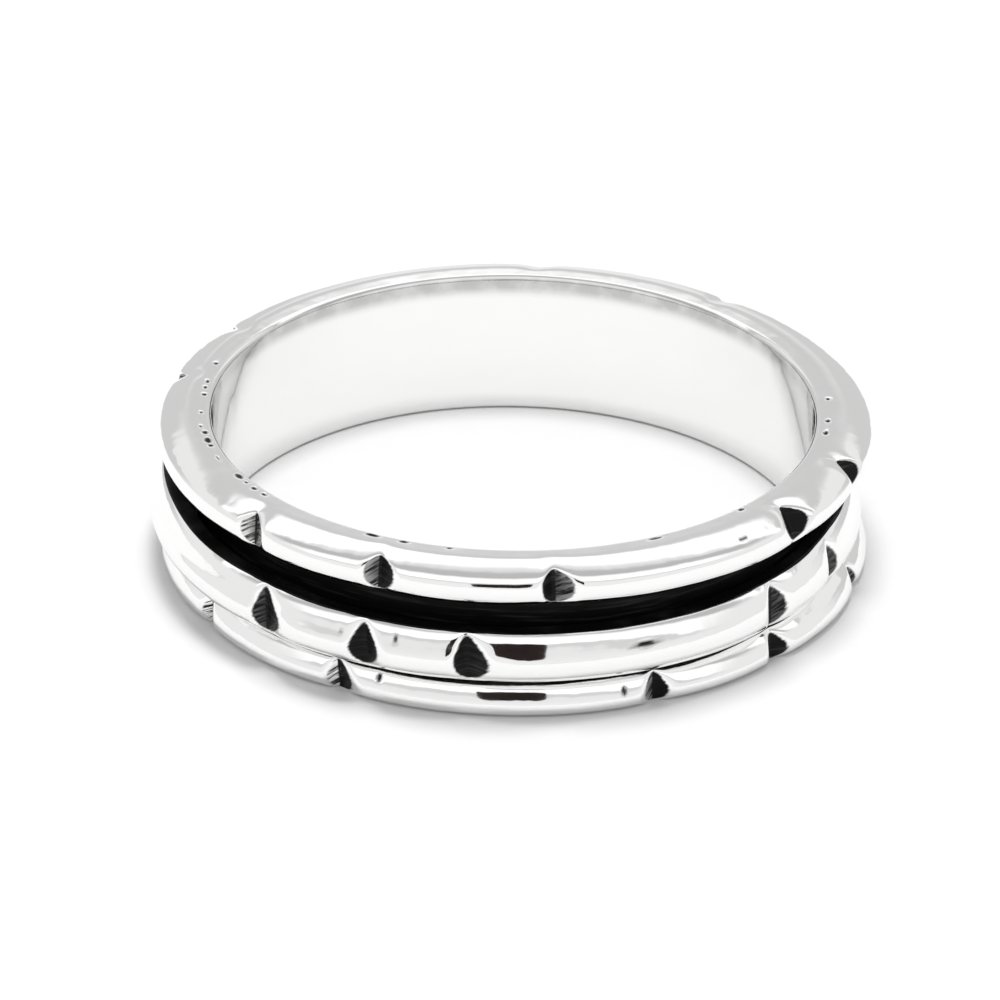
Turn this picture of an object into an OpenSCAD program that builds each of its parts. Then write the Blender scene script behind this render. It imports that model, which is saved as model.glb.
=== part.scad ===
// Spinner ring of sterling silver, lying on its side as it rests on a table.
// A band with two half-round rims traps a loose notched ring that turns between them.
// The ring's axis is Z, its lower end face lies on Z = 0, and -Y is the front.

/* [Finger hole] */
// Inside diameter, 18.2 for a US size 8
bore_d = 18.2; // [14:0.1:22]
// Height of the whole ring along the finger
ring_h = 4.75; // [4.6:0.05:7]
// Bevel inside both ends of the hole
bore_bevel = 0.15; // [0.05:0.05:0.25]

/* [Band] */
// Wall of the sleeve at the floor of the groove
sleeve_wall = 0.5; // [0.4:0.05:0.6]
// Height of each rim, the thickness of its half-round wire
rim_h = 1.1; // [0.9:0.05:1.2]
// How far the rims reach out from the finger hole
rim_reach = 1.65; // [1.5:0.05:1.9]

/* [Spinner] */
// Height of the spinner along the finger
spinner_h = 1.45; // [0.9:0.05:1.5]
// How far the spinner's dome bulges out past its flat ends
spinner_dome = 0.5; // [0.3:0.05:0.6]
// How far the spinner stands out past the rims
spinner_proud = 0.13; // [0:0.01:0.2]
// Radial play between the spinner and the sleeve
spinner_play = 0.2; // [0.1:0.05:0.25]
// Gap under the spinner where it rests on the lower rim
spinner_lift = 0.04; // [0.02:0.01:0.1]

/* [Notches] */
// Angle between the two filed walls of a notch
notch_angle = 95; // [80:5:110]

/* [Hidden] */
$fn = 96;

bore_r = bore_d / 2;
sleeve_r = bore_r + sleeve_wall;
rim_r = bore_r + rim_reach;

// Each rim is a half-round wire, flat on the ring's end face and domed outside
rim_dome_r = rim_h / 2;
rim_flat_r = rim_r - rim_dome_r;
lower_rim_z = 0;
upper_rim_z = ring_h - rim_h;

// The spinner is D-shaped: two flat ends, a flat back and an arc for its outside
spinner_bore_r = sleeve_r + spinner_play;
spinner_r = rim_r + spinner_proud;
spinner_flat_r = spinner_r - spinner_dome;
spinner_z = rim_h + spinner_lift;
spinner_arc_r = (pow(spinner_h / 2, 2) + pow(spinner_dome, 2)) / (2 * spinner_dome);

// The V of the file runs out past the metal by this much
file_reach = 1.2;
file_half_w = file_reach * tan(notch_angle / 2);

// Columns of the three notch tables
ANGLE = 0; // degrees round the ring from the front, positive towards +X
DEPTH = 1; // from the outside of the dome to the root of the V

UPPER_NOTCHES = [
    [-123, 0.40],
    [-101, 0.38],
    [-46.7, 0.40],
    [-22.1, 0.42],
    [6.4, 0.42],
    [51, 0.50],
    [71.5, 0.45],
    [140, 0.42],
    [176, 0.38],
];

SPINNER_NOTCHES = [
    [-151, 0.40],
    [-104, 0.38],
    [-41.4, 0.42],
    [-22.4, 0.42],
    [-5.8, 0.42],
    [48.6, 0.40],
    [68.5, 0.38],
    [112, 0.40],
    [134, 0.42],
];

LOWER_NOTCHES = [
    [-137, 0.42],
    [-60.5, 0.40],
    [-28.8, 0.42],
    [23.3, 0.42],
    [47, 0.42],
    [76, 0.40],
    [118, 0.38],
    [158, 0.42],
];

// One stroke of a triangular file across a domed ring of outer radius outer_r,
// between the heights z and z + h
module notch(angle, depth, outer_r, z, h)
    rotate([0, 0, angle])
        translate([0, depth - outer_r, z])
            linear_extrude(height = h)
                polygon([[0, 0], [file_half_w, -file_reach], [-file_half_w, -file_reach]]);

module notches(table, outer_r, z, h)
    for (row = table)
        notch(row[ANGLE], row[DEPTH], outer_r, z, h);

// Section of one rim from the sleeve to its dome, standing on the height z
module rim_section(z) {
    translate([bore_r, z])
        square([rim_flat_r - bore_r, rim_h]);
    translate([rim_flat_r, z + rim_dome_r])
        circle(r = rim_dome_r);
}

// Corner that the bevel takes off the finger hole, dir is the way out of the hole
module bevel_section(z, dir)
    polygon([
        [bore_r - bore_bevel, z + dir * bore_bevel],
        [bore_r - bore_bevel, z - 2 * dir * bore_bevel],
        [bore_r + 2 * bore_bevel, z + dir * bore_bevel],
    ]);

module band_section()
    difference() {
        union() {
            translate([bore_r, 0])
                square([sleeve_wall, ring_h]);
            rim_section(lower_rim_z);
            rim_section(upper_rim_z);
        }
        bevel_section(0, -1);
        bevel_section(ring_h, 1);
    }

module spinner_section()
    intersection() {
        translate([spinner_bore_r, spinner_z])
            square([spinner_r - spinner_bore_r, spinner_h]);
        union() {
            translate([spinner_bore_r, spinner_z])
                square([spinner_flat_r - spinner_bore_r, spinner_h]);
            translate([spinner_r - spinner_arc_r, spinner_z + spinner_h / 2])
                circle(r = spinner_arc_r);
        }
    }

// Sleeve and both rims, soldered into one
module base_band()
    color("silver")
        difference() {
            rotate_extrude()
                band_section();
            notches(UPPER_NOTCHES, rim_r, upper_rim_z - 0.1, rim_h + 0.2);
            notches(LOWER_NOTCHES, rim_r, lower_rim_z - 0.1, rim_h + 0.2);
        }

// Loose ring that turns in the groove
module spinner()
    color("gainsboro")
        difference() {
            rotate_extrude()
                spinner_section();
            notches(SPINNER_NOTCHES, spinner_r, spinner_z - 0.1, spinner_h + 0.2);
        }

base_band();
spinner();
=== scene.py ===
# Spinner ring of sterling silver, lying on its side on a white table.
# The sections are drawn and turned in millimetres, then brought down to metres.
import math

import bpy
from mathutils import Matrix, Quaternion, Vector, noise


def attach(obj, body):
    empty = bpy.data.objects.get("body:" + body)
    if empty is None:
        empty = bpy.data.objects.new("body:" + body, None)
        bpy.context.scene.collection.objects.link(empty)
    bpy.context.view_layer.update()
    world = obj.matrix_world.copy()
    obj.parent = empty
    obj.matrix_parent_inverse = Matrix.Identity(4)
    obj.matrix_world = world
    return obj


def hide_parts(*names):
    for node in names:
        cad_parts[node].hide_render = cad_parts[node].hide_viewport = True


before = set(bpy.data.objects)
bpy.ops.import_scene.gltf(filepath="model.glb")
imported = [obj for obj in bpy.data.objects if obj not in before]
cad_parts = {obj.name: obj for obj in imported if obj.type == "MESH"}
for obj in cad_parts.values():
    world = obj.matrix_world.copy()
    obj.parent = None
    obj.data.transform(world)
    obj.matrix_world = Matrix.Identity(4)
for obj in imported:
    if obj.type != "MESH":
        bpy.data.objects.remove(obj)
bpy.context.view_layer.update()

millimetre = 0.001


# small helpers

def deselectAll():
    if bpy.context.mode != "OBJECT":
        bpy.ops.object.mode_set(mode="OBJECT")
    bpy.ops.object.select_all(action="DESELECT")


def smoothStep(low, high, value):
    t = min(1.0, max(0.0, (value - low) / (high - low)))
    return t * t * (3 - 2 * t)


def smoothMinimum(a, b, softness):
    blend = max(softness - abs(a - b), 0.0) / softness
    return min(a, b) - blend * blend * softness / 4


def degreesApart(a, b):
    return (a - b + 180) % 360 - 180


# section drawing: one point is pulled along lines and arcs in the XZ plane, X is the radius

def penDown(name, x, z):
    deselectAll()
    bpy.ops.mesh.primitive_plane_add(size=0.1, location=(x, 0, z))
    piece = bpy.context.active_object
    piece.name = name
    piece.data.name = name
    bpy.ops.object.transform_apply(location=True, rotation=False, scale=False)
    bpy.ops.object.mode_set(mode="EDIT")
    bpy.ops.mesh.select_all(action="SELECT")
    bpy.ops.mesh.merge(type="CENTER")
    return {"piece": piece, "x": x, "z": z}


def penLine(pen, toX, toZ, steps):
    stepX = (toX - pen["x"]) / steps
    stepZ = (toZ - pen["z"]) / steps
    for _ in range(steps):
        bpy.ops.mesh.extrude_region_move(TRANSFORM_OT_translate={"value": (stepX, 0, stepZ)})
    pen["x"], pen["z"] = toX, toZ


def penArc(pen, normalFrom, normalTo, radius, steps):
    # normals are in degrees from +X up towards +Z, a negative radius hollows a corner
    first, last = math.radians(normalFrom), math.radians(normalTo)
    centreX = pen["x"] - radius * math.cos(first)
    centreZ = pen["z"] - radius * math.sin(first)
    bpy.ops.mesh.spin(steps=steps, angle=last - first, center=(centreX, 0, centreZ), axis=(0, 1, 0))
    pen["x"] = centreX + radius * math.cos(last)
    pen["z"] = centreZ + radius * math.sin(last)


def arcsHeight(arcs):
    return sum(
        radius * (math.sin(math.radians(normalTo)) - math.sin(math.radians(normalFrom)))
        for normalFrom, normalTo, radius, steps in arcs
    )


def turnStretches(zones, fineStep, coarseStep):
    # the spin starts at +X and runs towards +Y, while directions are given from the front
    spans = sorted([(angle - 90) % 360 - half, (angle - 90) % 360 + half] for angle, half in zones)
    merged = [spans[0]]
    for low, high in spans[1:]:
        if low <= merged[-1][1] + coarseStep:
            merged[-1][1] = max(merged[-1][1], high)
        else:
            merged.append([low, high])
    stretches = []
    here = 0.0
    for low, high in merged:
        stretches.append((low - here, math.ceil((low - here) / coarseStep)))
        stretches.append((high - low, math.ceil((high - low) / fineStep)))
        here = high
    stretches.append((360 - here, math.ceil((360 - here) / coarseStep)))
    return stretches


def turnSection(pen, zones):
    # the spin runs fine over each notch and pit, and coarse between them
    bpy.ops.mesh.select_all(action="SELECT")
    for width, steps in turnStretches(zones, fileWork["fineStep"], fileWork["coarseStep"]):
        bpy.ops.mesh.spin(steps=steps, angle=math.radians(width), center=(0, 0, 0), axis=(0, 0, -1))
    bpy.ops.mesh.select_all(action="SELECT")
    bpy.ops.mesh.remove_doubles(threshold=0.002)
    bpy.ops.mesh.normals_make_consistent(inside=False)
    bpy.ops.object.mode_set(mode="OBJECT")
    return pen["piece"]


def pointFields(piece, names):
    # all of them are made before the first is fetched, since making one moves the others
    for name in names:
        if name not in piece.data.attributes:
            piece.data.attributes.new(name, "FLOAT", "POINT")
    return [piece.data.attributes[name].data for name in names]


# hand work: filed notches, casting pits and the unevenness that polishing leaves

fileWork = {
    "rootRound": 0.10,
    "lip": 0.17,            # softness of the polished edge round a notch
    "dish": (0.045, 0.75),  # depth and width of the wear close to a notch
    "sag": (0.045, 1.5),    # and of the gentle fall of the wire towards it
    "press": (0.4, 0.6, 0.95),      # width of a pressed top, and where in the wire's height it sets in
    "reach": 3.2,
    "fade": (1.4, 1.2, 0.5),        # depth inside the dome where filing ends, wear begins and is full
    "stainReach": 1.1,
    "zone": 4.4,            # degrees of fine steps each side of a notch
    "fineStep": 0.34,
    "coarseStep": 2.0,
    "pitDepth": 0.045,
    "pitZone": 1.0,
    "broadWave": (0.8, 0.007),      # waves to a millimetre and their height
    "fineWave": (2.7, 0.002),
    "flatEnds": (0.3, 5.1, 4.4),    # the end faces stay nearly flat
    "shoulder": (9.95, 10.35),      # the slant of a wire sets in between these radii
}


def fileNotches(piece, size, notches, lowZ, highZ):
    # each notch is one stroke of a triangular file: metal outside its V is taken back to it
    filed, across, shine = pointFields(piece, ("filed", "acrossNotch", "wallShine"))
    half = math.radians(size["notchAngle"] / 2)
    outerR = size["outerR"]
    reach, rootRound = fileWork["reach"], fileWork["rootRound"]
    dish, dishWidth = fileWork["dish"]
    sag, sagWidth = fileWork["sag"]
    pressWidth, pressFrom, pressTo = fileWork["press"]
    deepest, wearFrom, wearTo = fileWork["fade"]
    thickness = (highZ - lowZ) / 2
    for vertex in piece.data.vertices:
        x, y, z = vertex.co
        radius = math.hypot(x, y)
        if not lowZ <= z <= highZ or radius < outerR - deepest:
            continue
        around = math.degrees(math.atan2(x, -y))
        height = (z - lowZ) / (highZ - lowZ)
        roundness = math.sqrt(max(0.0, 1 - (2 * height - 1) ** 2)) - 1
        outside = smoothStep(outerR - wearFrom, outerR - wearTo, radius)
        for at, below, above, lean, turn, leftShine, rightShine, press in notches:
            side = math.radians(degreesApart(around, at)) * outerR + lean * (height - 0.5)
            if abs(side) > reach:
                continue
            calm = smoothStep(reach, reach * 0.5, abs(side)) * outside
            wear = dish * math.exp(-(side / dishWidth) ** 2) + sag * math.exp(-(side / sagWidth) ** 2)
            worn = radius - wear * calm
            wall = half + math.copysign(math.radians(turn), side)
            root = outerR - below - (above - below) * height
            valley = root + (math.hypot(side, rootRound) - rootRound) / math.tan(wall)
            kept = smoothMinimum(worn, valley, fileWork["lip"])
            pressed = math.exp(-(side / pressWidth) ** 2) * smoothStep(pressFrom, pressTo, height)
            vertex.co.x *= kept / radius
            vertex.co.y *= kept / radius
            vertex.co.z -= press * pressed * calm
            if abs(side) < fileWork["stainReach"]:
                stained = min(worn, outerR + thickness * roundness) - valley
                filed[vertex.index].value = max(0.0, stained)
                across[vertex.index].value = side
                shine[vertex.index].value = leftShine if side < 0 else rightShine
            radius = kept


def sinkPits(piece, pits):
    # direction, radius and height of a pit, then its half length round the ring and half width
    pitted = pointFields(piece, ("pitted",))[0]
    normals = [vertex.normal.copy() for vertex in piece.data.vertices]
    for vertex, normal in zip(piece.data.vertices, normals):
        x, y, z = vertex.co
        radius = math.hypot(x, y)
        around = math.degrees(math.atan2(x, -y))
        for at, pitR, pitZ, along, across in pits:
            offset = degreesApart(around, at)
            if abs(offset) > 2:
                continue
            sideways = math.hypot(radius - pitR, z - pitZ)
            far = math.hypot(math.radians(offset) * pitR / along, sideways / across)  # 1 at its edge
            if far < 2.5:
                vertex.co -= normal * fileWork["pitDepth"] * math.exp(-far * far)
                pitted[vertex.index].value = max(pitted[vertex.index].value, smoothStep(1.8, 1.1, far))


def roughenByHand(piece, start):
    broadScale, broadHeight = fileWork["broadWave"]
    fineScale, fineHeight = fileWork["fineWave"]
    foot, aboveTop, belowTop = fileWork["flatEnds"]
    normals = [vertex.normal.copy() for vertex in piece.data.vertices]
    for vertex, normal in zip(piece.data.vertices, normals):
        broad = noise.noise(vertex.co * broadScale + start) * broadHeight
        fine = noise.noise(vertex.co * fineScale + start) * fineHeight
        steady = smoothStep(0.0, foot, vertex.co.z) * smoothStep(aboveTop, belowTop, vertex.co.z)
        vertex.co += normal * (broad + fine) * steady


def finishMesh(piece):
    deselectAll()
    piece.select_set(True)
    bpy.context.view_layer.objects.active = piece
    bpy.ops.object.mode_set(mode="EDIT")
    bpy.ops.mesh.select_all(action="SELECT")
    bpy.ops.transform.resize(value=(millimetre, millimetre, millimetre), center_override=(0, 0, 0))
    bpy.ops.object.mode_set(mode="OBJECT")
    bpy.ops.object.shade_smooth()
    piece.select_set(False)


# band: sleeve and two half-round rims, one soldered piece

band = {
    "boreR": 9.1,
    "height": 4.75,
    "sleeveR": 9.6,
    "boreEdge": 0.15,
    # arcs are normal from, normal to, radius, steps
    "boreLip": [(90, 120, 0.1, 3), (120, 150, 0.25, 4), (150, 180, 0.1, 3)],
    "grooveFillet": 0.08,
    "topDish": 0.025,
    "seamR": 9.62,          # the top face is drawn finer inside this, for the solder pits
    "outerR": 10.69,
    "notchAngle": 90,       # between the two walls of a notch
    "lowerDomeStart": 10.3,
    "lowerDome": [(-90, 22, 0.38, 15), (22, 35, 1.5, 5), (35, 60, 0.4, 4), (60, 90, 1.14, 5)],
    "upperDomeStart": 10.37,
    "upperDome": [
        (-90, -62, 0.05, 2), (-62, 22, 0.6, 15), (22, 35, 0.35, 3), (35, 60, 0.45, 4), (60, 90, 1.42, 7),
    ],
    "rimShift": 0.08,       # off centre, towards the right
    "outOfRound": 0.1,
    "lowerTilt": 0.008,     # the lower wire is thicker on its left
    "rightLift": 0.12,      # and the upper one thinner at its far right
    "oxideFade": (0.08, 0.05),      # past the lower and the upper edge of the groove
    "lipShade": (0.78, 0.35),   # depths under the top where the painted shade of the finger hole ends and is full
    "lipShadeSide": (-0.2, 0.75),       # it thins out from the back towards the front
    # direction from the front, depth below and above, lean and turn of the file,
    # shine of the left and right wall, press of the top
    "upperNotches": [
        (-120.5, 0.42, 0.5, 0.1, 0, 0.4, 0.2, 0.05), (-101, 0.40, 0.5, -0.1, 0, 0.4, 0.2, 0.05),
        (-46.3, 0.42, 0.54, 0.05, 10, 0.9, 0.3, 0.03), (-21.7, 0.42, 0.56, 0.0, 7, 0.4, 0.0, 0.03),
        (6.4, 0.45, 0.54, 0.05, 7, 0.0, 0.25, 0.02), (50.6, 0.16, 0.80, 0.0, 0, 0.0, 0.0, 0.06),
        (70.6, 0.10, 0.74, 0.0, 0, 0.0, 0.0, 0.05), (140, 0.44, 0.5, 0.1, 0, 0.3, 0.1, 0.05),
        (176, 0.40, 0.5, 0.0, 0, 0.3, 0.3, 0.05),
    ],
    "lowerNotches": [
        (-137, 0.44, 0.4, 0.0, 0, 0.4, 0.1, 0.0), (-58.5, 0.44, 0.38, 0.1, 0, 2.0, 0.5, 0.0),
        (-29.0, 0.48, 0.46, 0.1, -12, 2.0, 0.0, 0.0), (23.3, 0.43, 0.50, 0.0, 0, 0.5, 0.0, 0.0),
        (46.8, 0.48, 0.48, 0.0, -7, 0.1, 0.0, 0.0), (74.5, 0.42, 0.38, 0.0, 0, 0.1, 0.2, 0.0),
        (118, 0.40, 0.36, -0.1, 0, 0.2, 0.2, 0.0), (158, 0.44, 0.4, 0.0, 0, 0.2, 0.2, 0.0),
    ],
    # direction, radius, height, half length, half width
    "solderPits": [
        (-105.1, 9.46, 4.75, 0.07, 0.05), (-97.5, 9.39, 4.75, 0.08, 0.05), (-95.0, 9.38, 4.75, 0.07, 0.05),
        (-92.1, 9.35, 4.75, 0.07, 0.06), (-84.7, 9.40, 4.75, 0.06, 0.04), (-79.1, 9.47, 4.75, 0.07, 0.04),
        (-76.6, 9.40, 4.75, 0.09, 0.07), (-73.4, 9.42, 4.75, 0.14, 0.08), (-71.3, 9.42, 4.75, 0.07, 0.06),
        (-66.1, 9.46, 4.75, 0.10, 0.03), (-58.1, 9.38, 4.75, 0.15, 0.07), (-55.4, 9.39, 4.75, 0.06, 0.04),
        (-52.7, 9.40, 4.75, 0.09, 0.06), (-49.8, 9.39, 4.75, 0.08, 0.05), (-25.1, 9.31, 4.74, 0.17, 0.06),
        (-19.1, 9.31, 4.74, 0.12, 0.05), (-10.8, 9.30, 4.74, 0.08, 0.04), (45.3, 9.31, 4.74, 0.09, 0.05),
        (26.1, 9.32, 4.74, 0.16, 0.05), (84.9, 9.48, 4.75, 0.08, 0.06), (80.0, 9.48, 4.75, 0.10, 0.06),
        (93.7, 9.55, 4.75, 0.06, 0.05), (-32.3, 10.58, 4.12, 0.06, 0.06), (38.8, 10.40, 4.64, 0.12, 0.06),
        (-21.2, 10.55, 0.84, 0.07, 0.11), (17.7, 10.62, 0.71, 0.06, 0.12),
    ],
}


def blackenAndShadeBand(piece, grooveLow, grooveHigh):
    # oxide fills the groove and fades out on the shoulders of the rims,
    # and a painted shade, a grey band, is laid under the lip of the finger hole, most of it at the back
    blackened, paintedLipShade = pointFields(piece, ("blackened", "paintedLipShade"))
    boreR, height = band["boreR"], band["height"]
    fadeBelow, fadeAbove = band["oxideFade"]
    lipShadeEnd, lipShadeFull = band["lipShade"]
    for vertex in piece.data.vertices:
        radius = math.hypot(vertex.co.x, vertex.co.y)
        inGroove = smoothStep(grooveLow - fadeBelow, grooveLow, vertex.co.z)
        inGroove *= smoothStep(grooveHigh + fadeAbove, grooveHigh, vertex.co.z)
        outside = smoothStep(boreR + 0.2, boreR + 0.3, radius)
        blackened[vertex.index].value = inGroove * outside
        underLip = smoothStep(height - lipShadeEnd, height - lipShadeFull, vertex.co.z)
        underLip *= smoothStep(boreR + 0.1, boreR, radius)
        paintedLipShade[vertex.index].value = underLip * smoothStep(*band["lipShadeSide"], vertex.co.y / radius)


def settleBand(piece):
    # the rims are a little off centre and out of round, and their wires uneven
    for vertex in piece.data.vertices:
        x, y, z = vertex.co
        radius = math.hypot(x, y)
        onRim = smoothStep(band["sleeveR"] + 0.02, band["sleeveR"] + 0.45, radius)
        shoulder = smoothStep(*fileWork["shoulder"], radius)
        lowerRim = smoothStep(2.2, 1.2, z)
        upperRim = smoothStep(2.2, 3.2, z) * smoothStep(4.6, 3.7, z)
        tilt = -band["lowerTilt"] * x * min(z, 1.0) * lowerRim * shoulder
        lift = band["rightLift"] * smoothStep(0.7, 0.95, x / radius) * upperRim * onRim
        vertex.co.x += (band["rimShift"] + band["outOfRound"] * (x / radius) ** 3) * onRim
        vertex.co.z += tilt + lift


def buildBand():
    size = band
    fillet = size["grooveFillet"]
    pen = penDown("band", size["boreR"], size["boreEdge"])
    penArc(pen, 180, 270, size["boreEdge"], 5)
    penLine(pen, size["lowerDomeStart"], 0, 4)
    for arc in size["lowerDome"]:
        penArc(pen, *arc)
    grooveLow = pen["z"]
    grooveHigh = size["height"] - arcsHeight(size["upperDome"])
    penLine(pen, size["sleeveR"] + fillet, grooveLow, 2)
    penArc(pen, 90, 0, -fillet, 3)
    penLine(pen, size["sleeveR"], grooveHigh - fillet, 6)
    penArc(pen, 0, -90, -fillet, 3)
    penLine(pen, size["upperDomeStart"], grooveHigh, 3)
    for arc in size["upperDome"]:
        penArc(pen, *arc)
    penLine(pen, size["seamR"], size["height"] - size["topDish"] / 5, 2)
    lipStart = size["boreR"] + sum(
        radius * (math.cos(math.radians(normalFrom)) - math.cos(math.radians(normalTo)))
        for normalFrom, normalTo, radius, steps in size["boreLip"]
    )
    penLine(pen, lipStart, size["height"] - size["topDish"], 7)
    for arc in size["boreLip"]:
        penArc(pen, *arc)
    penLine(pen, size["boreR"], size["height"] - 0.9, 6)
    penLine(pen, size["boreR"], size["boreEdge"], 4)
    zones = [(notch[0], fileWork["zone"]) for notch in size["upperNotches"] + size["lowerNotches"]]
    zones += [(pit[0], fileWork["pitZone"]) for pit in size["solderPits"]]
    piece = turnSection(pen, zones)
    blackenAndShadeBand(piece, grooveLow, grooveHigh)
    fileNotches(piece, size, size["upperNotches"], grooveHigh - 0.01, size["height"])
    fileNotches(piece, size, size["lowerNotches"], 0, grooveLow + 0.01)
    sinkPits(piece, size["solderPits"])
    settleBand(piece)
    roughenByHand(piece, Vector((3.1, 7.7, 1.3)))
    finishMesh(piece)
    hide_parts("base_band")
    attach(piece, "band")
    print("band turned and filed:", len(piece.data.vertices), "points, groove", grooveLow, grooveHigh)
    return piece


# spinner: the loose D-section ring lying on the lower rim

spinner = {
    "boreR": 9.86,
    "bottomZ": 1.13,
    "backEdge": 0.06,
    "outerR": 10.815,
    "notchAngle": 100,
    "domeStart": 10.305,
    "dome": [(-75, 22, 0.67, 17), (22, 35, 1.9, 6), (35, 60, 0.62, 5), (60, 90, 0.12, 3)],
    "blackTopR": 10.35,     # oxide starts inside these on the top and underneath
    "blackUnderR": 10.2,
    "underSpread": (0.1, 0.24),     # how much less of it at the left and more at the right
    "shift": (-0.2, -0.1),  # it lies against the sleeve at the back right
    "tilt": 0.008,
    "fuller": (0.07, 0.2, 0.06),    # rise of the top at the front, the left and the far right
    "notches": [
        (-151, 0.42, 0.4, 0.0, 0, 0.3, 0.1, 0.0), (-104, 0.40, 0.4, 0.1, 0, 0.3, 0.1, 0.0),
        (-41.3, 0.45, 0.52, 0.12, 13, 0.1, 0.0, 0.0), (-22.2, 0.43, 0.49, 0.1, 3, 0.0, 0.0, 0.0),
        (-5.5, 0.45, 0.52, 0.1, 8, 0.0, 0.0, 0.0), (48.2, 0.40, 0.46, 0.0, -4, 0.0, 0.1, 0.0),
        (66, 0.40, 0.38, 0.0, 0, 0.0, 0.1, 0.0), (112, 0.42, 0.4, 0.0, 0, 0.2, 0.2, 0.0),
        (134, 0.44, 0.4, -0.1, 0, 0.2, 0.2, 0.0),
    ],
    "nicks": [
        (-25.8, 10.70, 2.29, 0.08, 0.08), (-16.7, 10.68, 2.40, 0.06, 0.12), (-8.0, 10.70, 2.33, 0.06, 0.09),
        (22.4, 10.74, 2.20, 0.26, 0.07),
    ],
}


def settleSpinner(piece):
    # it has slid to the left and front, and its wire is a little thicker on the left
    atFront, atLeft, farRight = spinner["fuller"]
    for vertex in piece.data.vertices:
        x, y, z = vertex.co
        sideways = x / math.hypot(x, y)
        lowerEdge = smoothStep(*fileWork["shoulder"], math.hypot(x, y)) * smoothStep(2.2, 1.6, z)
        raised = atFront * smoothStep(0.9, 0.0, sideways) + atLeft * min(0.0, sideways) ** 2
        raised += 2 * farRight * smoothStep(0.86, 0.98, -sideways)
        raised += farRight * smoothStep(0.8, 0.95, sideways)
        vertex.co.z += raised * smoothStep(2.2, 2.6, z) - spinner["tilt"] * x * lowerEdge
        vertex.co.x += spinner["shift"][0]
        vertex.co.y += spinner["shift"][1]


def buildSpinner():
    size = spinner
    edge = size["backEdge"]
    pen = penDown("spinnerRing", size["boreR"], size["bottomZ"] + edge)
    penArc(pen, 180, 270, edge, 3)
    penLine(pen, size["domeStart"], size["bottomZ"], 3)
    penArc(pen, 270, 285, 0.05, 1)
    for arc in size["dome"]:
        penArc(pen, *arc)
    top = pen["z"]
    penLine(pen, size["boreR"] + edge, top, 4)
    penArc(pen, 90, 180, edge, 3)
    penLine(pen, size["boreR"], size["bottomZ"] + edge, 5)
    zones = [(notch[0], fileWork["zone"]) for notch in size["notches"]]
    zones += [(nick[0], 1.5) for nick in size["nicks"]]
    piece = turnSection(pen, zones)
    blackened = pointFields(piece, ("blackened",))[0]
    for vertex in piece.data.vertices:
        radius = math.hypot(vertex.co.x, vertex.co.y)
        atLeft, atRight = size["underSpread"]
        spread = atLeft if vertex.co.x < 0 else atRight
        underR = size["blackUnderR"] + spread * vertex.co.x / radius
        edgeR = size["blackTopR"] if vertex.co.z > top - 0.6 else underR
        blackened[vertex.index].value = smoothStep(edgeR + 0.03, edgeR - 0.02, radius)
    fileNotches(piece, size, size["notches"], size["bottomZ"], top)
    sinkPits(piece, size["nicks"])
    roughenByHand(piece, Vector((9.4, 2.2, 5.5)))
    settleSpinner(piece)
    finishMesh(piece)
    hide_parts("spinner")
    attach(piece, "spinner_ring")
    print("spinner turned and filed:", len(piece.data.vertices), "points, top at", round(top, 3))
    return piece


# silver: polished metal, black oxide where the polish did not reach, file marks, solder pits

silver = {
    "metal": (0.905, 0.903, 0.90),
    # painted shade: the grey laid under the lip of the finger hole
    "lipShade": (0.51, 0.51, 0.505),
    "oxide": (0.003, 0.003, 0.003),
    # painted sheen: the lighter grey of the streaks in the oxide
    "oxideSheen": (0.030, 0.028, 0.027),
    "polishedRoughness": 0.045,
    "wallRoughness": 0.22,
    "oxideRoughness": 0.42,
    "oxideGloss": 0.12,
    "markPitch": (13.0, -8.0, 1.5),     # file marks up the wall, along their slant and across it
    "waveHeight": 0.018,
    "markHeight": 0.03,
}


class NodeDesk:
    # lays nodes out left to right and links them by socket name
    def __init__(self, owner):
        owner.use_nodes = True
        self.tree = owner.node_tree
        self.tree.nodes.clear()
        self.column = 0

    def add(self, kind, inputs=None, **settings):
        node = self.tree.nodes.new(kind)
        node.location = (self.column * 180, -(self.column % 5) * 160)
        self.column += 1
        for name, value in settings.items():
            setattr(node, name, value)
        for name, value in (inputs or {}).items():
            if hasattr(value, "is_output"):
                self.tree.links.new(value, node.inputs[name])
            else:
                node.inputs[name].default_value = value
        return node

    def math(self, operation, first, second=0.0, third=None):
        inputs = {0: first, 1: second}
        if third is not None:
            inputs[2] = third
        return self.add("ShaderNodeMath", inputs, operation=operation).outputs[0]

    def ramp(self, value, low, high, toLow=0.0, toHigh=1.0):
        inputs = {"Value": value, "From Min": low, "From Max": high, "To Min": toLow, "To Max": toHigh}
        return self.add("ShaderNodeMapRange", inputs, interpolation_type="SMOOTHSTEP").outputs["Result"]

    def noise(self, vector, scale, detail=2.0, roughness=0.5):
        inputs = {"Vector": vector, "Scale": scale, "Detail": detail, "Roughness": roughness}
        return self.add("ShaderNodeTexNoise", inputs).outputs["Fac"]

    def vector(self, x, y, z=0.0):
        return self.add("ShaderNodeCombineXYZ", {"X": x, "Y": y, "Z": z}).outputs[0]

    def blend(self, factor, first, second):
        mix = self.add("ShaderNodeMix", data_type="RGBA")
        for index, value in ((0, factor), (6, first), (7, second)):
            if hasattr(value, "is_output"):
                self.tree.links.new(value, mix.inputs[index])
            else:
                mix.inputs[index].default_value = value if index == 0 else (*value, 1)
        return mix.outputs[2]

    def field(self, name):
        return self.add("ShaderNodeAttribute", attribute_name=name).outputs["Fac"]


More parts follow.
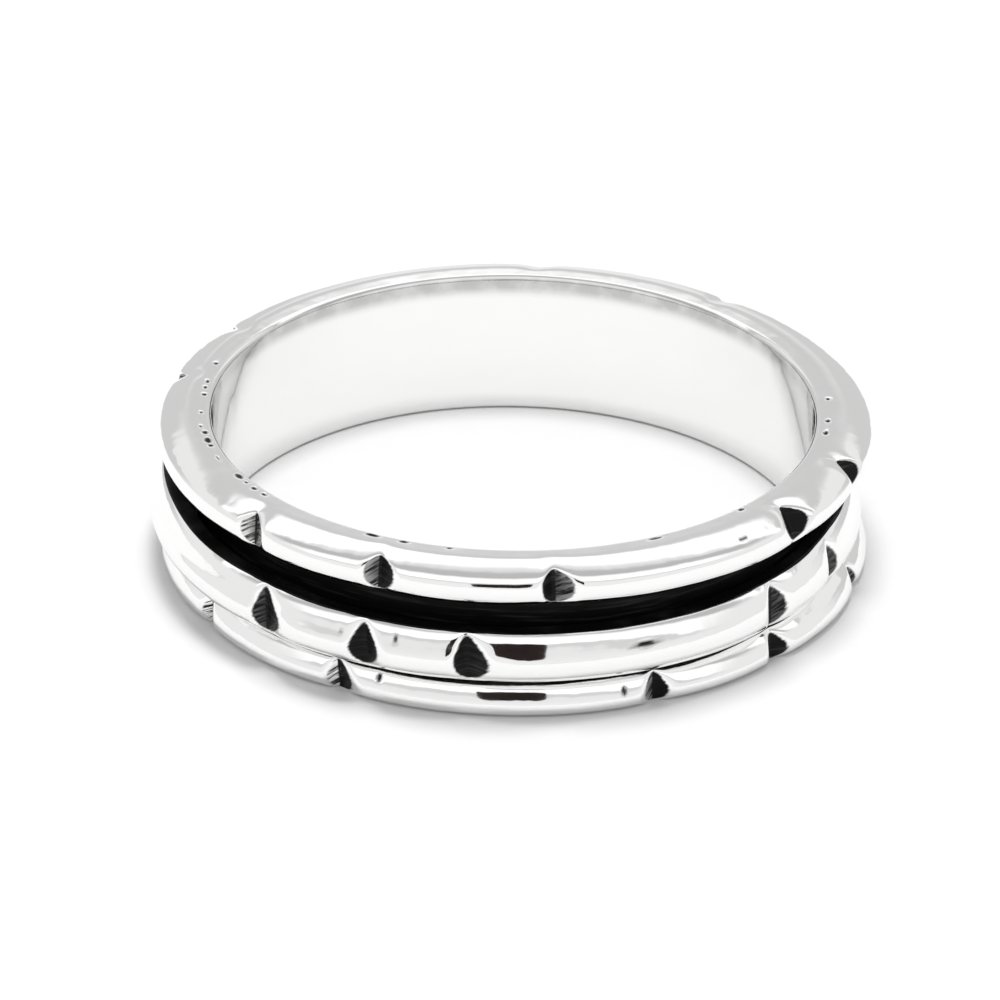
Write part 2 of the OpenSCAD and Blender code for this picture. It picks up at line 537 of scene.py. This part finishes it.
def silverMaterial(name):
    material = bpy.data.materials.new(name)
    desk = NodeDesk(material)
    place = desk.add("ShaderNodeTexCoord").outputs["Object"]
    inMillimetres = desk.add("ShaderNodeMapping", {"Vector": place, "Scale": (1000, 1000, 1000)}).outputs[0]
    axes = desk.add("ShaderNodeSeparateXYZ", {"Vector": inMillimetres}).outputs
    fromFront = desk.math("ARCTAN2", axes["X"], desk.math("MULTIPLY", axes["Y"], -1.0))
    around = desk.math("MULTIPLY", fromFront, 10.6)
    upward = axes["Z"]

    # file marks climb across both walls of a notch
    side = desk.field("acrossNotch")
    upPitch, slantPitch, acrossPitch = silver["markPitch"]
    climb = desk.math("MULTIPLY_ADD", upward, upPitch, desk.math("MULTIPLY", side, slantPitch))
    markPlace = desk.vector(climb, desk.math("MULTIPLY", side, acrossPitch), around)
    marks = desk.noise(markPlace, 1.0, 2.0, 0.6)

    filed = desk.field("filed")
    inNotch = desk.ramp(desk.math("MULTIPLY_ADD", marks, 0.10, filed), 0.09, 0.16)
    offRoot = desk.ramp(desk.math("ABSOLUTE", side), 0.015, 0.07)
    ridges = desk.math("MULTIPLY", desk.ramp(marks, 0.38, 0.6), offRoot)
    nearLip = desk.ramp(filed, 0.42, 0.12, 0.35, 1.0)
    rubbed = desk.math("MULTIPLY", desk.math("MULTIPLY", ridges, nearLip), desk.field("wallShine"))
    rubbed = desk.math("MINIMUM", rubbed, 1.0)
    stained = desk.math("MULTIPLY", inNotch, desk.math("SUBTRACT", 1.0, rubbed))

    blotches = desk.noise(inMillimetres, 4.0, 4.0, 0.6)
    inGroove = desk.ramp(desk.math("MULTIPLY_ADD", blotches, 0.3, desk.field("blackened")), 0.45, 0.75)
    oxide = desk.math("MAXIMUM", desk.math("MAXIMUM", stained, inGroove), desk.field("pitted"))

    # painted sheen: streaks of a lighter grey run round the groove in the oxide's colour
    shrink = {"Vector": inMillimetres, "Scale": (0.35, 0.35, 8.0)}
    lengthways = desk.add("ShaderNodeMapping", shrink).outputs[0]
    sheenStreaks = desk.ramp(desk.noise(lengthways, 1.0, 3.0, 0.6), 0.48, 0.72)
    darkTone = desk.blend(sheenStreaks, silver["oxide"], silver["oxideSheen"])
    patchiness = desk.noise(inMillimetres, 1.3, 3.0, 0.55)
    # painted shade: a patchy grey under the lip of the finger hole
    shadedLip = desk.math("MULTIPLY", desk.field("paintedLipShade"), desk.ramp(patchiness, 0.3, 0.6, 0.7, 1.0))
    bright = desk.blend(shadedLip, silver["metal"], silver["lipShade"])
    tone = desk.blend(oxide, bright, darkTone)

    polish = desk.ramp(patchiness, 0.3, 0.7, silver["polishedRoughness"], silver["polishedRoughness"] + 0.03)
    walls = desk.add("ShaderNodeMix", {0: inNotch, 2: polish, 3: silver["wallRoughness"]}).outputs[0]
    rough = desk.add("ShaderNodeMix", {0: oxide, 2: walls, 3: silver["oxideRoughness"]}).outputs[0]

    # hammer and file leave the surface gently uneven, the end face and the finger hole less so
    uneven = desk.noise(inMillimetres, 1.3, 1.6, 0.45)
    flatPlace = desk.vector(axes["X"], axes["Y"])
    fromAxis = desk.add("ShaderNodeVectorMath", {0: flatPlace}, operation="LENGTH").outputs["Value"]
    calmFace = desk.ramp(upward, 4.62, 4.72, 1.0, 0.25)
    calm = desk.math("MINIMUM", calmFace, desk.ramp(fromAxis, 9.15, 9.35, 0.3, 1.0))
    waves = {"Height": uneven, "Strength": calm, "Distance": silver["waveHeight"] * millimetre}
    skin = desk.add("ShaderNodeBump", waves).outputs[0]
    scratchy = desk.ramp(filed, 0.03, 0.14, 0.0, 0.7)
    relief = {"Height": marks, "Strength": scratchy, "Normal": skin}
    relief["Distance"] = silver["markHeight"] * millimetre
    scratched = desk.add("ShaderNodeBump", relief).outputs[0]
    metallic = desk.math("SUBTRACT", 1.0, oxide)
    surface = {"Base Color": tone, "Metallic": metallic, "Roughness": rough, "Normal": scratched}
    surface["Specular IOR Level"] = silver["oxideGloss"]
    shader = desk.add("ShaderNodeBsdfPrincipled", surface)
    desk.add("ShaderNodeOutputMaterial", {"Surface": shader.outputs["BSDF"]})
    return material


# table, light and camera

studio = {
    "photoElevation": 28.5,
    "cameraDistance": 132.6,
    "lookAt": (-0.363, 0.585, 1.127),
    "roll": 0.75,
    "lens": 155.6,
    # light tent: degrees over the ring from the back horizon to the front one, and how bright it is there
    "tent": [
        (0, 0.89), (18, 0.90), (21.5, 0.72), (24, 0.65), (28, 0.66), (29, 0.78),
        (32, 1.22), (56, 1.26), (66, 0.87), (73, 0.80), (82, 0.55), (101, 0.53),
        (112, 1.1), (144, 1.26), (147, 0.72), (152, 0.72), (155, 0.88), (180, 0.97),
    ],
    "panelRise": 52,        # degrees that the back panel's edge climbs towards straight left or right
    "riseFade": (55, 85),
    "cornerGrey": 0.67,     # left and right below the back panel
    "cornerSpan": (0.05, 0.15),     # how far sideways it sets in
    "cornerTop": (26, 30),
    "sideGlow": 0.9,        # the tent straight left and right
    "sideSpan": (0.75, 0.95),
    "fillRadiance": 24,
    "fillTilt": 4,          # degrees behind the point overhead
    "fillRadius": 75,
    "fillDistance": 400,
    "cardSize": (6.4, 4.4),     # black card, seen only in the metal
    "cardCorner": 0.8,
    "cardPlace": (0, -21.1, 6.9),
}


def buildTable():
    deselectAll()
    bpy.ops.mesh.primitive_plane_add(size=1.6, location=(0, 0, 0))
    table = bpy.context.active_object
    table.name = "table"
    paper = bpy.data.materials.new("white paper")
    desk = NodeDesk(paper)
    place = desk.add("ShaderNodeTexCoord").outputs["Object"]
    tone = desk.blend(desk.noise(place, 900.0, 3.0), (0.64, 0.64, 0.64), (0.66, 0.66, 0.66))
    shader = desk.add("ShaderNodeBsdfPrincipled", {"Base Color": tone, "Roughness": 0.9})
    desk.add("ShaderNodeOutputMaterial", {"Surface": shader.outputs["BSDF"]})
    table.data.materials.append(paper)


def buildTent():
    world = bpy.data.worlds.new("light tent")
    bpy.context.scene.world = world
    desk = NodeDesk(world)
    way = desk.add("ShaderNodeTexCoord").outputs["Generated"]
    axes = desk.add("ShaderNodeSeparateXYZ", {"Vector": way}).outputs
    turned = desk.math("DEGREES", desk.math("ARCTAN2", axes["Z"], axes["Y"]))
    sideways = desk.math("ABSOLUTE", axes["X"])
    lift = desk.math("MULTIPLY", sideways, studio["panelRise"])
    lifted = desk.math("MULTIPLY", lift, desk.ramp(turned, *studio["riseFade"], 1.0, 0.0))
    along = desk.math("DIVIDE", desk.math("SUBTRACT", turned, lifted), 180.0)
    ramp = desk.add("ShaderNodeValToRGB", {"Fac": along})
    stops = ramp.color_ramp.elements
    while len(stops) < len(studio["tent"]):
        stops.new(1.0)
    for stop, (degrees, brightness) in zip(stops, studio["tent"]):
        stop.position = degrees / 180
        stop.color = (brightness, brightness, brightness, 1)
    low = desk.ramp(turned, *studio["cornerTop"], 1.0, 0.0)
    corner = desk.math("MULTIPLY", desk.ramp(sideways, *studio["cornerSpan"]), low)
    walls = desk.blend(corner, ramp.outputs["Color"], (studio["cornerGrey"],) * 3)
    glow = desk.blend(desk.ramp(sideways, *studio["sideSpan"]), walls, (studio["sideGlow"],) * 3)
    backdrop = desk.add("ShaderNodeBackground", {"Color": glow, "Strength": 1.0})
    desk.add("ShaderNodeOutputWorld", {"Surface": backdrop.outputs["Background"]})


def buildFill():
    # keeps the table white, and the metal does not see it
    tilt = math.radians(studio["fillTilt"])
    place = Vector((0, math.sin(tilt), math.cos(tilt))) * studio["fillDistance"] * millimetre
    radius = studio["fillRadius"] * millimetre
    deselectAll()
    bpy.ops.object.light_add(type="AREA", location=place)
    fill = bpy.context.active_object
    fill.name = "fill"
    fill.rotation_euler = place.to_track_quat("Z", "Y").to_euler()
    fill.data.shape = "DISK"
    fill.data.size = radius * 2
    fill.data.energy = studio["fillRadiance"] * (math.pi * radius) ** 2
    fill.visible_camera = False
    fill.visible_glossy = False


def buildCard(cameraPlace):
    # close in front of the ring, it shows as the dark bar that a camera leaves in each dome
    place = Vector(studio["cardPlace"]) * millimetre
    deselectAll()
    bpy.ops.mesh.primitive_plane_add(size=1, location=place)
    card = bpy.context.active_object
    card.name = "card"
    width, height = studio["cardSize"]
    card.scale = (width * millimetre, height * millimetre, 1)
    bpy.ops.object.transform_apply(location=False, rotation=False, scale=True)
    card.rotation_euler = cameraPlace.to_track_quat("Z", "Y").to_euler()
    bpy.ops.object.mode_set(mode="EDIT")
    bpy.ops.mesh.select_all(action="SELECT")
    bpy.ops.mesh.bevel(offset=studio["cardCorner"] * millimetre, segments=4, affect="VERTICES")
    bpy.ops.object.mode_set(mode="OBJECT")
    velvet = bpy.data.materials.new("black velvet")
    desk = NodeDesk(velvet)
    onCard = desk.add("ShaderNodeTexCoord").outputs["Object"]
    tone = desk.blend(desk.noise(onCard, 2200.0, 3.0), (0.004, 0.002, 0.002), (0.022, 0.009, 0.008))
    shader = desk.add("ShaderNodeBsdfPrincipled", {"Base Color": tone, "Roughness": 1.0})
    desk.add("ShaderNodeOutputMaterial", {"Surface": shader.outputs["BSDF"]})
    card.data.materials.append(velvet)
    card.visible_camera = False
    card.visible_diffuse = False
    card.visible_shadow = False


def buildCamera():
    elevation = math.radians(studio["photoElevation"])
    place = Vector((0, -math.cos(elevation), math.sin(elevation))) * studio["cameraDistance"] * millimetre
    aim = Vector(studio["lookAt"]) * millimetre
    deselectAll()
    bpy.ops.object.camera_add(location=place)
    camera = bpy.context.active_object
    camera.rotation_mode = "QUATERNION"
    level = (place - aim).to_track_quat("Z", "Y")
    camera.rotation_quaternion = level @ Quaternion((0, 0, 1), math.radians(studio["roll"]))
    camera.data.lens = studio["lens"]
    camera.data.sensor_width = 36
    camera.data.clip_start = 0.005
    camera.data.clip_end = 5
    bpy.context.scene.camera = camera
    return place


bandPiece = buildBand()
spinnerPiece = buildSpinner()
for piece in (bandPiece, spinnerPiece):
    piece.data.materials.append(silverMaterial(piece.name + " silver"))
print("silver mixed")

buildTable()
buildTent()
buildFill()
cameraPlace = buildCamera()
buildCard(cameraPlace)
bpy.context.scene.view_settings.view_transform = "Standard"
bpy.context.scene.view_settings.look = "None"
print("table, light and camera placed")
